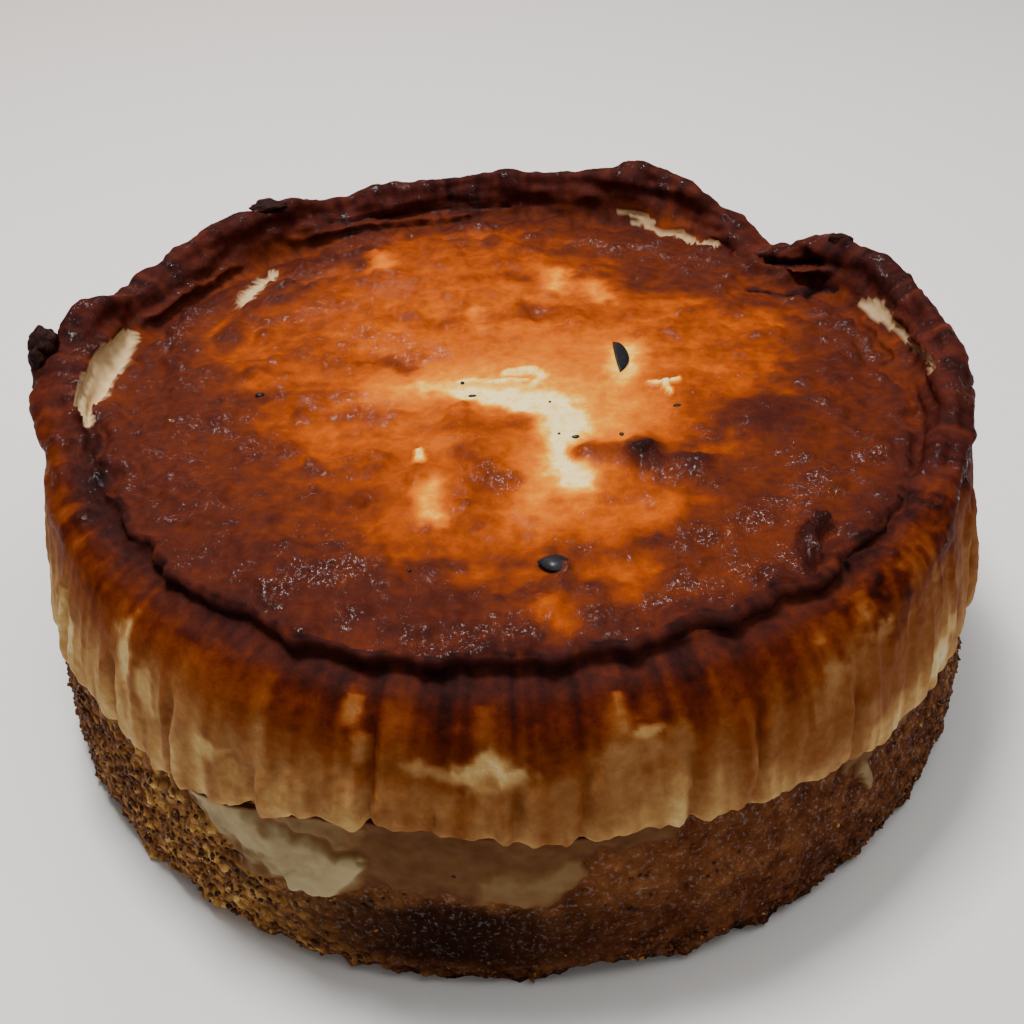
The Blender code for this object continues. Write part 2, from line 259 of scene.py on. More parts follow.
# Creases down the wall, as (angle, top height, bottom height, depth)
WALL_CREASES = (
    (-104, 56, 37, 1.3), (-90, 47, 36, 1.1), (-83.5, 50, 34, 1), (-66, 53, 34, 1.2), (-98, 44, 37, 0.9),
    (-73, 48, 34, 1), (-116.5, 44, 33, 1.1), (-127.5, 50, 30, 1), (-138, 48, 31, 1.1), (-53, 46, 31, 1),
    (-150, 52, 31, 1.2), (-24, 56, 30, 1.2), (2, 60, 33, 1.2), (33, 58, 35, 1.1), (72, 60, 34, 1.3),
    (108, 56, 36, 1.2), (139, 60, 34, 1.3), (171, 56, 31, 1.2),
)

# Burnt lumps on the rim, as (angle, radius, height, sizes)
BURNT_LUMPS = (
    (174, 91.2, 67, (2.8, 3.6, 2.9)), (175.6, 91.8, 64.6, (2.2, 3, 3.4)),
    (128, 85.4, 68.6, (4.4, 2.8, 1.5)), (28.5, 86, 67.2, (2.6, 2, 1.7)),
)

# Small dark specks on the top, as (x, y, length, width)
TOP_SPECKS = (
    (13.5, -21.3, 1.5, 1), (-5.5, -6, 1.6, 0.8), (-7.5, -0.8, 0.8, 0.6), (22, -21, 0.9, 1.2),
    (33.5, -12, 1.6, 1), (9.3, -10.2, 0.6, 0.5), (-16, -58, 0.9, 0.8), (-47, -3, 1.8, 1.6),
    (-86, 6, 1.3, 1.3), (10.5, -20, 0.6, 0.5),
)

# The custard that has run down over the crumb, as strokes in (mm round the base from the front, height,
# half width), each with its thickness, up to about 1
RUN_STROKES = (
    ("main lobe", ((-56, 31, 7), (-50, 29, 9), (-43, 26, 10.5), (-36, 25, 10), (-30, 26, 8)), 0.95),
    ("lobe's top", ((-50, 35, 6.5), (-38, 35, 7), (-28, 34, 6)), 0.7),
    ("pale streak", ((-38, 20.5, 3.4), (-31, 23, 4.4), (-27, 28, 3.6)), 1.15),
    ("thin film", ((-30, 29, 9), (-18, 29, 10), (-4, 28, 11), (6, 28, 8)), 0.43),
    ("film under the seam", ((-30, 36, 7), (-15, 36, 7), (6, 34, 7), (24, 33, 5)), 0.4),
    ("blot", ((-4, 25, 6), (2, 24, 7), (8, 27, 5)), 0.66),
    ("right lump", ((65.5, 25, 2.8), (66, 22.5, 3.2), (67, 20.5, 2.6)), 0.8),
    ("right drip", ((62, 28, 3.6), (76, 27, 3.6), (86, 27, 4.2)), 0.5),
)


def hermite(before, start, end, after, share):
    """A smooth value between start and end, from the values on either side of them."""
    slope_in, slope_out = (end - before) / 2, (after - start) / 2
    square, cube = share**2, share**3
    return (
        (2 * cube - 3 * square + 1) * start
        + (cube - 2 * square + share) * slope_in
        + (3 * square - 2 * cube) * end
        + (cube - square) * slope_out
    )


def around(points, angles):
    """Values at the angles of a closed smooth curve through (angle, value) points."""
    keys, values = np.array(points, float).T
    turned = (angles - keys[0]) % 360 + keys[0]
    index = np.searchsorted(keys, turned, side="right") - 1
    share = (turned - keys[index]) / (np.append(keys, keys[0] + 360)[index + 1] - keys[index])
    return hermite(*(values[(index + step) % len(keys)] for step in (-1, 0, 1, 2)), share)


def along(values, shares):
    """Values at the shares, 0 to 1, of the way along smooth curves through the rows of values."""
    place = shares * (len(values) - 1)
    index = np.minimum(place.astype(int), len(values) - 2)
    near = [values[np.clip(index + step, 0, len(values) - 1)] for step in (-1, 0, 1, 2)]
    return hermite(*near, (place - index)[:, None])


def bell(value, width=1.0, power=2):
    """1 where the value is 0, falling smoothly to 0 about two widths away."""
    return np.exp(-((value / width) ** power))


def soft(value, low, high):
    """0 at low, 1 at high, and a smooth ramp between them."""
    share = np.clip((value - low) / (high - low), 0, 1)
    return share * share * (3 - 2 * share)


def turned_from(angles, centre):
    """Degrees from the centre angle, from -180 to 180."""
    return (angles - centre + 180) % 360 - 180


def sector(angles, centre, width, power=2):
    """1 at the centre angle, falling smoothly to 0 about two widths to either side."""
    return bell(turned_from(angles, centre), width, power)


def lumps(points, size, seed=0, octaves=2, stretch=(1, 1, 1)):
    """Smooth noise, about -1 to 1, with lumps size mm across, stretched along X, Y and Z."""
    placed = points / (size * np.array(stretch)) + 31.7 * seed
    return np.array([noise.fractal(place, 1.0, 2.0, octaves) for place in placed.tolist()])


def cells(points, size, seed=0):
    """Distances, over size, to the two nearest of scattered points about size mm apart."""
    placed = points / size + 31.7 * seed
    return np.array([noise.voronoi(place)[0][:2] for place in placed.tolist()]).T


def stroke(x, y, path):
    """1 in the middle of a stroke through (x, y, half width) points, falling to 0 at its edge."""
    inside = np.zeros_like(x)
    for (x0, y0, wide0), (x1, y1, wide1) in zip(path, path[1:]):
        step_x, step_y = x1 - x0, y1 - y0
        share = np.clip(((x - x0) * step_x + (y - y0) * step_y) / (step_x**2 + step_y**2), 0, 1)
        away = np.hypot(x - x0 - share * step_x, y - y0 - share * step_y)
        inside = np.maximum(inside, 1 - away / (wide0 + share * (wide1 - wide0)))
    return inside


def polar(radius, angle, height):
    """Points at each angle round the cake's axis, at one radius and height or one for each."""
    turn = np.radians(angle)
    return np.stack([radius * np.cos(turn), radius * np.sin(turn), height + 0 * turn], axis=-1)


def colour(hex_code, alpha=1.0):
    """A linear colour from an sRGB hex code."""
    parts = [int(hex_code[i : i + 2], 16) / 255 for i in (1, 3, 5)]
    return (*(p / 12.92 if p <= 0.04045 else ((p + 0.055) / 1.055) ** 2.4 for p in parts), alpha)


def per_mm(size):
    """The scale of a pattern whose features are size mm apart."""
    return 1 / (size * MM)


def wire(tree, node, links):
    """Sets inputs to values, or links them from sockets or from the first live output of nodes."""
    for socket, value in links.items():
        if isinstance(value, bpy.types.Node):
            value = next(output for output in value.outputs if output.enabled)
        if isinstance(value, bpy.types.NodeSocket):
            tree.links.new(value, node.inputs[socket])
        else:
            node.inputs[socket].default_value = value


def add(tree, kind, links=None, stops=(), **settings):
    """Adds a node with its settings, and with (place, hex code) stops if it has colours, and wires it."""
    node = tree.nodes.new(kind)
    for name, value in settings.items():
        setattr(node, name, value)
    for number, (place, hex_code) in enumerate(stops):
        shades = node.color_ramp.elements
        shade = shades[number] if number < len(shades) else shades.new(place)
        shade.position, shade.color = place, colour(hex_code)
    wire(tree, node, links or {})
    return node


def new_material(name, **values):
    """A material, its nodes, its shader with values on its own sockets, and Object coordinates."""
    material = bpy.data.materials.new(name)
    material.use_nodes = True
    shader = material.node_tree.nodes["Principled BSDF"]
    for socket, value in values.items():
        shader.inputs[socket.replace("_", " ")].default_value = value
    place = add(material.node_tree, "ShaderNodeTexCoord").outputs["Object"]
    return material, material.node_tree, shader, place


def new_piece(name, material, points, faces, marks=None):
    """A smooth mesh piece from points in mm, with one attribute for each mark."""
    mesh = bpy.data.meshes.new(name)
    mesh.from_pydata((np.asarray(points) * MM).tolist(), [], faces)
    mesh.materials.append(material)
    mesh.shade_smooth()
    for mark, values in (marks or {}).items():
        attribute = mesh.attributes.new(mark, "FLOAT", "POINT")
        attribute.data.foreach_set("value", np.asarray(values, dtype=np.float32))
    piece = bpy.data.objects.new(name, mesh)
    bpy.context.scene.collection.objects.link(piece)
    return piece


def outward(points, faces):
    """Unit normals at the points of a mesh."""
    mesh = bpy.data.meshes.new("measure")
    mesh.from_pydata(points.tolist(), [], faces)
    normals = np.empty(len(points) * 3, dtype=np.float32)
    mesh.vertex_normals.foreach_get("vector", normals)
    bpy.data.meshes.remove(mesh)
    return normals.reshape(-1, 3).astype(float)


def ring_faces(rings):
    """Four-sided faces between neighbouring rings of point numbers, listed from the top down."""
    upper, lower = rings[:-1], rings[1:]
    corners = [upper, lower, np.roll(lower, -1, 1), np.roll(upper, -1, 1)]
    return np.stack(corners, -1).reshape(-1, 4).tolist()


def grid_faces(number):
    """Four-sided faces of a grid of point numbers."""
    corners = [number[:-1, :-1], number[1:, :-1], number[1:, 1:], number[:-1, 1:]]
    return np.stack(corners, -1).reshape(-1, 4)


def border(number):
    """Point numbers once round the edge of a grid."""
    return np.concatenate([number[-1, :-1], number[:0:-1, -1], number[0, :0:-1], number[:-1, 0]])


def fan(ring, middle):
    """Triangles from a ring of point numbers, anticlockwise from outside, to one in its middle."""
    return [(*pair, middle) for pair in np.column_stack([ring, np.roll(ring, -1)]).tolist()]


def wall_outline(angle):
    """Slow unevenness of the wall's radius, and its flatter side at the front left."""
    turn = np.radians(angle)
    waves = 0.4 * np.sin(2 * turn + 0.6) + 0.3 * np.sin(5 * turn + 2.0) + 0.3 * np.sin(9 * turn + 0.2)
    return 0.6 * waves - FLAT_SIDE_DEPTH * sector(angle, FLAT_SIDE_ANGLE, 30, 4)


def wall_profile(angles):
    """Radius and height of the wall at each angle, in even rows from the top's edge to the foot."""
    crest, lip = around(CREST_HEIGHTS, angles), around(LIP_HEIGHTS, angles)
    rise = np.clip((crest - SHOULDER_HEIGHT) / (RIM_HEIGHT - SHOULDER_HEIGHT), 0, 1)
    over = crest - (SHOULDER_HEIGHT + rise * (RIM_HEIGHT - SHOULDER_HEIGHT))
    tuck = FOLD_DEPTH * sector(angles, FOLD_ANGLE, FOLD_WIDTH)
    table = np.array(WALL_POINTS)[:, :, None]
    front_r, front_z, back_r, back_z, by_crest, by_lip, by_fold = np.moveaxis(table, 1, 0)
    radii = front_r + (back_r - front_r) * rise - by_fold * tuck + wall_outline(angles)
    heights = front_z + (back_z - front_z) * rise + by_crest * over + by_lip * (lip - SEAM_HEIGHT)
    shares = np.linspace(0, 1, PROFILE_STEPS)
    radii, heights = along(radii, shares), along(heights, shares)
    length = np.cumsum(np.hypot(np.diff(radii, axis=0), np.diff(heights, axis=0)), axis=0)
    length = np.vstack([np.zeros(len(angles)), length])
    even = np.linspace(0, 1, WALL_ROWS + 1)
    spread = [
        [np.interp(even * run[-1], run, values) for values in (r, z)]
        for run, r, z in zip(length.T, radii.T, heights.T)
    ]
    return np.array(spread).transpose(1, 2, 0)


def custard_mesh():
    """The custard as a round grid for the top, then rings down to the foot, then the flat underside.

    Each point has its angle, its row, which is 0 on the top, up to 1 on the wall and 2 below, and its
    reach, its share of the way from the middle of the top to the edge.
    """
    line = np.linspace(-1, 1, TOP_CELLS + 1)
    across, back = (part.ravel() for part in np.meshgrid(line, line, indexing="ij"))
    wide = abs(across) >= abs(back)
    first, second = np.where(wide, across, back), np.where(wide, back, across)
    slant = 45 * second / np.where(first == 0, 1, first)
    angle = np.where(wide, slant, 90 - slant) + np.where(first < 0, 180, 0)
    reach = abs(first)
    number = np.arange(len(across)).reshape(TOP_CELLS + 1, TOP_CELLS + 1)
    edge = border(number)
    ring_angle = -45 + 360 * np.arange(len(edge)) / len(edge)
    radii, heights = wall_profile(ring_angle)

    keys = np.append(ring_angle, 315)
    placed = (angle + 45) % 360 - 45
    edge_radius = np.interp(placed, keys, np.append(radii[0], radii[0][0]))
    edge_height = np.interp(placed, keys, np.append(heights[0], heights[0][0]))
    top = polar(reach * edge_radius, angle, 0)
    x, y = top[:, 0], top[:, 1]
    swell = np.sin(x / 17 + 0.5) * np.cos(y / 14) + 0.6 * np.sin(x / 9 - y / 11)
    top[:, 2] = TOP_CENTRE_HEIGHT + 0.5 * swell
    top[:, 2] += (edge_height - top[:, 2]) * np.clip((reach - 0.6) / 0.4, 0, 1) ** 2

    wall = polar(radii[1:].ravel(), np.tile(ring_angle, WALL_ROWS), heights[1:].ravel())
    step = polar(SEAM_STEP_RADIUS, ring_angle, SEAM_HEIGHT)
    points = np.vstack([top, wall, step, [[0, 0, SEAM_HEIGHT]]])
    rings = np.vstack([edge, len(top) + np.arange(len(edge) * (WALL_ROWS + 1)).reshape(-1, len(edge))])
    faces = grid_faces(number).tolist() + ring_faces(rings) + fan(rings[-1][::-1], len(points) - 1)

    row = np.zeros(len(points))
    row[len(top) : len(top) + len(wall)] = np.repeat(np.arange(1, WALL_ROWS + 1), len(edge)) / WALL_ROWS
    row[len(top) + len(wall) :] = 2
    all_angles = np.concatenate([placed, np.tile(ring_angle, WALL_ROWS + 1), [0]])
    return points, faces, all_angles, row, np.append(reach, np.ones(len(points) - len(top)))


def seen_on_top(points):
    """Where each point is seen, from the camera, against the level of the top."""
    place = np.array(CAMERA_PLACE)
    share = (TOP_LEVEL - place[2]) / (points[:, 2] - place[2])
    seen = place + (points - place) * share[:, None]
    return seen[:, 0], seen[:, 1]


def shape_custard():
    """The custard's points, moved to their final shape, its faces and its marks."""
    points, faces, angle, row, reach = custard_mesh()
    normals = outward(points, faces)
    crest = around(CREST_HEIGHTS, angle)
    radius, height = np.hypot(points[:, 0], points[:, 1]), points[:, 2]
    on_top, on_wall, upper = row == 0, (row > 0) & (row <= 1), row < UPPER_ROWS
    raised = soft(crest, RIM_STARTS, RIM_STANDS)
    x, y = seen_on_top(points)

    # Noise that several features share. The round forms of it follow the rim and run down the wall.
    broad, middling = lumps(points, 14, 1), lumps(points, 5, 2)
    fine, sugar = lumps(points, 1.7, 3), lumps(points, 0.9, 4, 1)
    warp_x, warp_y = 1.6 * lumps(points, 4, 5) + 0.5 * fine, 1.6 * lumps(points, 4, 6) - 0.5 * fine
    flat = points * (1, 1, 0)
    round_top = np.column_stack([2.2 * angle * radius / 90, radius, 0 * radius])
    turned = soft(radius, 44, 66) * on_top * soft(abs(turned_from(angle, -90)), 35, 70)
    straight = lumps(flat, 4.5, 7, 2, (7, 1, 1)) + 0.6 * lumps(flat, 11, 8, 2, (3.5, 1, 1))
    curved = lumps(round_top, 4.5, 7, 2, (9, 1, 1)) + 0.6 * lumps(round_top, 9, 8, 2, (4, 1, 1))
    streaks = straight + (curved - straight) * turned
    round_it = polar(WALL_RADIUS, angle, height)
    drips, thin_drips = lumps(round_it, 9, 9, 2, (1, 1, 5)), lumps(round_it, 3.2, 10, 2, (1, 1, 7))
    flutes = lumps(round_it, 1.7, 17, 1, (1, 1, 9))
    ribs = lumps(round_it, 2.6, 18, 1, (1, 1, 5)) * on_wall * soft(47 - height, 0, 5)
    ridges = lumps(polar(20, angle, radius), 3.4, 15)
    knobs = lumps(points, 6.5, 20, 3)
    folds = lumps(np.column_stack([1.6 * angle, radius, height]), 4.2, 16, 2, (4, 1, 1))
    ragged = lumps(polar(EDGE_RADIUS, angle, 0), 8, 12, 3)

    # Browning of the top, from the middle out
    seen_angle = np.degrees(np.arctan2(y, x))
    reached = np.hypot(x, y) / around(ORANGE_REACH, seen_angle)
    reached += 0.10 * middling + 0.06 * streaks + 0.05 * broad
    browning = 0.40 + 0.09 * soft(reached, 0.35, 0.85) + 0.17 * soft(reached, 0.84, 1.08)
    browning += 0.08 * soft(radius, 68, 77) + 0.04 * ridges * soft(reached, 0.8, 1.0)
    browning += 0.05 * streaks + 0.05 * broad + 0.05 * middling + 0.025 * fine
    bent_x, bent_y = x + warp_x, y + warp_y
    for _, path, target, edge in TOP_STROKES:
        cover = soft(stroke(bent_x, bent_y, path), 0, edge)
        browning += (target + 0.035 * streaks + 0.03 * middling - browning) * cover
    crust = np.zeros(len(points))
    for path in TOP_CRUSTS:
        crust = np.maximum(crust, soft(stroke(bent_x, bent_y, path), 0, 0.7))
    speckled = soft(fine + middling, 0.0, 0.8)
    crust = crust * (0.7 + 0.7 * middling) + 0.5 * soft(browning, 0.2, 0.34) * speckled
    crust = np.clip(crust, 0, 1) * on_top

    # Rim and wall, by how far below the crest they are, in shares of how far the browning runs there
    drop = np.maximum(crest, LOWEST_CREST) - height
    run = (drop + 3.8 * drips + 3.0 * thin_drips + 1.2 * broad) / around(BROWN_REACH, angle)
    levels = (0, 0.25, 0.5, 0.75, 1.0, 1.35, 1.8, 2.4), (0.8, 0.75, 0.67, 0.58, 0.48, 0.38, 0.30, 0.2)
    wall_brown = np.interp(run, *levels) + 0.05 * middling + 0.04 * fine
    wall_brown += 0.15 * thin_drips + 0.11 * flutes
    palest = 0.1 + 0.04 * middling + 0.1 * sector(angle, -152, 24)
    wall_brown = np.maximum(wall_brown - 0.1 * ribs, palest)
    for centre, level, half_turn, half_height, target in WALL_PATCHES:
        away = np.hypot(turned_from(angle, centre) / half_turn, (height - level) / half_height)
        cover = 1 - soft(away + 0.45 * middling + 0.35 * thin_drips + 0.25 * fine, 0.5, 1.25)
        wall_brown += 0.8 * (target - wall_brown) * cover * on_wall
    mottled = soft(turned_from(angle, -58), 0, 12) * soft(turned_from(-20, angle), 0, 15)
    mottled *= on_wall * soft(height, 46, 52)
    wall_brown += mottled * (0.16 * middling + 0.12 * fine - 0.04)

    # Under the top's edge the wall is darkened, as burnt skin and as painted shade from the overhang,
    # most in two clefts and least where it has healed
    cleft = sector(angle, -156, 22) + 0.5 * sector(angle, -40, 14)
    deep = (row + 0.025 * middling + 0.012 * fine) / (1 + 0.5 * cleft)
    wall_brown -= 0.1 * cleft * on_wall * soft(deep, 0.1, 0.16)
    healed = sector(angle + 5 * broad, -58, 22) + 0.4 * soft(ragged, 0.0, 0.6)
    healed = np.minimum(healed, 1) * (1 - np.minimum(cleft, 1))
    burnt_and_shaded_under_edge = on_wall * soft(row, 0.02, 0.05) * (1 - soft(deep, 0.06, 0.14))
    burnt_and_shaded_under_edge *= np.maximum(1 - raised, cleft) * (1 - 0.8 * healed)
    rim_brown = 0.68 + 0.10 * middling + 0.08 * broad + 0.07 * ridges
    inner_side = on_wall & (radius < INNER_RADIUS)
    wall_brown = np.where(inner_side, np.maximum(wall_brown, rim_brown), wall_brown)
    # The wall just below the top's edge takes a dark brown here: burnt skin with painted shade
    wall_brown += (0.81 + 0.07 * middling + 0.07 * cleft - wall_brown) * burnt_and_shaded_under_edge
    browning = np.where(on_top, browning, wall_brown)
    crest_zone = on_wall * soft(9.0 - drop, 0, 5) * raised * (1 - np.minimum(cleft, 1))
    rim = np.where(on_top, soft(radius + 3 * middling, 71, 79) * 0.75 * raised, crest_zone)

    # Small relief
    lift = on_top * (0.16 * streaks + 0.3 * broad + 0.2 * middling + (0.08 + 0.12 * crust) * fine)
    lift += on_top * (0.5 * knobs + 0.5 * soft(knobs, 0.1, 0.5)) * soft(browning, 0.15, 0.45)
    lift += on_top * (0.12 * crust * sugar + 0.5 * crust * middling)
    warped = points + 0.8 * np.column_stack([warp_x, warp_y, 0 * x])
    pimple = soft(0.34 - cells(warped, 5.5, 19)[0], 0, 0.3) * on_top
    lift += 0.45 * pimple * soft(middling, -0.2, 0.4)
    browning += 0.05 * pimple
    outer = on_top * soft(radius, 56, 74)
    lift += outer * (0.3 * middling + 0.15 * fine + (0.3 + 0.9 * raised) * ridges)
    filled = on_wall * soft(row, 0.02, 0.05) * (1 - soft(row, 0.09, 0.13))
    lift += 1.1 * healed * (1 + 0.5 * middling) * filled
    lift += cleft * on_wall * (0.9 * middling + 0.5 * fine) * (1 - soft(row, 0.2, 0.3))
    rimmed = on_wall * soft(9.0 - drop, 0, 4)
    lift += rimmed * (0.8 * broad + 0.5 * middling + 0.2 * fine + 0.08 * sugar) * (0.3 + 0.7 * raised)
    lift += rimmed * raised * (ridges + 1.6 * folds + 0.7 * knobs)
    low_wall = on_wall * soft(drop, 4, 14)
    lift += low_wall * (0.6 * drips + 0.8 * thin_drips + 0.16 * fine + 0.3 * flutes) + 0.8 * ribs
    for centre, top_height, foot_height, depth in WALL_CREASES:
        across = turned_from(angle + 0.5 * middling, centre + 0.05 * (height - 40))
        tall = soft(height, foot_height - 2, foot_height + 2)
        tall *= 1 - soft(height, top_height - 5, top_height)
        inside = tall * bell(across, 0.55)
        lift -= on_wall * depth * inside
        # Each crease is darker inside: painted shade in the dent
        browning += 0.12 * on_wall * inside
        lift += on_wall * 0.5 * depth * tall * bell(abs(across) - 1.5, 0.8)
    for centre_x, centre_y, size, tall, target in TOP_BLISTERS:
        away = np.hypot(bent_x - centre_x, 0.8 * (bent_y - centre_y)) / size + 0.15 * fine
        lift += upper * tall * bell(away)
        browning += (target - browning) * bell(away) * upper * (0.9 if tall > 0 else 0.7)
        if tall > 1:
            crust += (0.4 - crust) * bell(away) * on_top
    for _, path, tall, target in RIM_FOLDS:
        cover = soft(stroke(x + 0.8 * warp_x, y + 0.8 * warp_y, path), 0, 0.9) * upper
        lift += tall * cover * (1 + 0.25 * fine)
        browning += (target + 0.05 * fine - browning) * cover
    bare = np.zeros(len(points))
    for _, path, depth, bareness in TOP_TEARS:
        inside = stroke(x + 0.45 * warp_x, y + 0.45 * warp_y, path) * upper
        bare = np.maximum(bare, bareness * soft(inside, 0.0, 0.16))
        crust *= 1 - soft(inside, 0, 0.1)
        lift *= 1 - 0.92 * bare * (inside > 0)
        wider = [(*place, 1.6 * wide) for *place, wide in path]
        stain = soft(stroke(x + warp_x - 1, y + warp_y - 1, wider), 0, 0.6)
        browning += (0.52 - browning) * 0.4 * stain * upper
        lift -= depth * soft(inside, 0.0, 0.3)
        lift += 0.6 * bell(inside, 0.12) * (inside > 0)
    for _, path, tall in TOP_CURLS:
        cover = soft(stroke(x + 0.3 * warp_x, y + 0.3 * warp_y, path), 0, 0.6) * on_top
        browning += (0.04 - browning) * cover
        lift += tall * cover * (1 + 0.4 * fine)

    # The top's ragged edge and the custard's toothed foot
    edge_wave = on_top * soft(reach, 0.9, 1.0) + on_wall * (1 - soft(row, 0.02, 0.16))
    outward_move = edge_wave * (around(EDGE_SHIFTS, angle) + 2.1 * ragged + 0.6 * middling)
    high_rim = soft(radius, 79, 87) * soft(height, 53, 63)
    for centre, half_width, swell in RIM_BULGES:
        outward_move += high_rim * swell * sector(angle, centre, half_width)
    foot = on_wall * soft(row, 0.86, 1.0)
    round_foot = polar(LIP_RADIUS, angle, 0)
    teeth = foot * (0.9 + 0.7 * lumps(round_foot, 5, 13, 2) + 0.4 * lumps(round_foot, 2.4, 14, 1))
    moved = points + normals * (lift * (row <= 1))[:, None] + polar(outward_move, angle, -teeth)
    # Where the wall's colours, darkened with painted shade, take over from the top's
    side = on_wall * soft(radius, 82, 86)
    crust = np.maximum(crust, 0.7 * rimmed * raised * speckled * (1 - bare))
    marks = {"browning": browning, "crust": crust, "rim": rim, "side": side, "bare": bare}
    marks = {mark: np.clip(values, 0, 1) for mark, values in marks.items()}
    return moved, faces, marks


def browned_custard():
    """Baked custard: satin where pale, gold to dark brown skin, sugary crusts that sparkle, and a wall
    darkened with painted shade.
    """
    material, tree, shader, place = new_material(
        "baked custard, browned in the oven", IOR=1.45, Roughness=0.6, Specular_IOR_Level=0.035,
        Coat_Roughness=0.08, Subsurface_Weight=0.08, Subsurface_Radius=(1.0, 0.45, 0.2),
        Subsurface_Scale=2.0 * MM,
    )
    browning, crust, rim, side, bare = (
        add(tree, "ShaderNodeAttribute", attribute_name=name).outputs["Fac"]
        for name in ("browning", "crust", "rim", "side", "bare")
    )
    # Grain and sugar dots are finer in life, and are drawn just coarse enough to show
    mottle, grain, dots = (
        add(tree, "ShaderNodeTexNoise", {
            "Vector": place, "Scale": per_mm(size), "Detail": detail, "Roughness": roughness,
        })
        for size, detail, roughness in ((1.8, 5, 0.65), (0.4, 2, 0.6), (0.65, 3, 0.7))
    )
    shift, rough, pores = (
        add(tree, "ShaderNodeMapRange", {"Value": value, "To Min": low, "To Max": high})
        for value, low, high in ((mottle, -0.13, 0.13), (crust, 0.2, 1), (bare, 0.5, 0.1))
    )
    uneven = add(tree, "ShaderNodeMath", {0: browning, 1: shift}, operation="ADD")
    skin = add(tree, "ShaderNodeValToRGB", {"Fac": uneven}, stops=(
        (0.0, "#fae09c"), (0.07, "#f0ba45"), (0.15, "#e28b07"), (0.24, "#d06c02"),
        (0.34, "#bc5705"), (0.43, "#9e4307"), (0.52, "#7d330b"), (0.62, "#602710"),
        (0.72, "#471c12"), (0.82, "#331410"), (0.92, "#1c0b0a"), (1.0, "#0b0404"),
    ))
    # The wall's colours are its own browning made darker and duller by painted shade on the side
    wall = add(tree, "ShaderNodeValToRGB", {"Fac": uneven}, stops=(
        (0.0, "#dccb9c"), (0.1, "#c9a468"), (0.2, "#b0844c"), (0.32, "#946337"),
        (0.44, "#80491f"), (0.54, "#72350d"), (0.64, "#5f2505"), (0.74, "#471404"),
        (0.86, "#260903"), (1.0, "#0a0201"),
    ))
    burnt = add(tree, "ShaderNodeValToRGB", {"Fac": uneven}, stops=(
        (0.0, "#8a4a26"), (0.5, "#6c3018"), (0.66, "#4f2016"), (0.8, "#381612"),
        (0.92, "#200c0b"), (1.0, "#0f0505"),
    ))
    top_or_shaded_wall = add(tree, "ShaderNodeMix", {0: side, 6: skin, 7: wall}, data_type="RGBA")
    browned = add(tree, "ShaderNodeMix", {0: rim, 6: top_or_shaded_wall, 7: burnt}, data_type="RGBA")
    custard = add(tree, "ShaderNodeValToRGB", {"Fac": mottle}, stops=(
        (0.3, "#bb996b"), (0.5, "#c6a87c"), (0.7, "#d0b88c"),
    ))
    shade = add(tree, "ShaderNodeMix", {0: bare, 6: browned, 7: custard}, data_type="RGBA")

    bright = add(tree, "ShaderNodeMapRange", {
        "Value": dots, "From Min": 0.53, "From Max": 0.6, "To Max": 1.6,
    })
    coat = add(tree, "ShaderNodeMath", {0: bright, 1: crust}, operation="MULTIPLY")
    grain_bump = add(tree, "ShaderNodeBump", {"Strength": rough, "Distance": 0.3 * MM, "Height": grain})
    bump = add(tree, "ShaderNodeBump", {
        "Strength": pores, "Distance": 0.35 * MM, "Height": mottle, "Normal": grain_bump,
    })
    wire(tree, shader, {"Base Color": shade, "Coat Weight": coat, "Normal": bump, "Coat Normal": bump})
    return material


def base_surface(angle, share):
    """Radius and height of the crumb base's outside, before its crumbs."""
    shares, radii = np.array(BASE_PROFILE).T
    radius = np.interp(share, shares, radii) + 0.8 * wall_outline(angle)
    lip = around(LIP_HEIGHTS, angle)
    lip_radius = LIP_RADIUS - 1 + wall_outline(angle)
    reach = np.clip((radius - SEAM_STEP_RADIUS) / (lip_radius - SEAM_STEP_RADIUS), 0, 1)
    return radius, share * (SEAM_HEIGHT + (lip - SEAM_HEIGHT) * reach - SEAM_GAP)


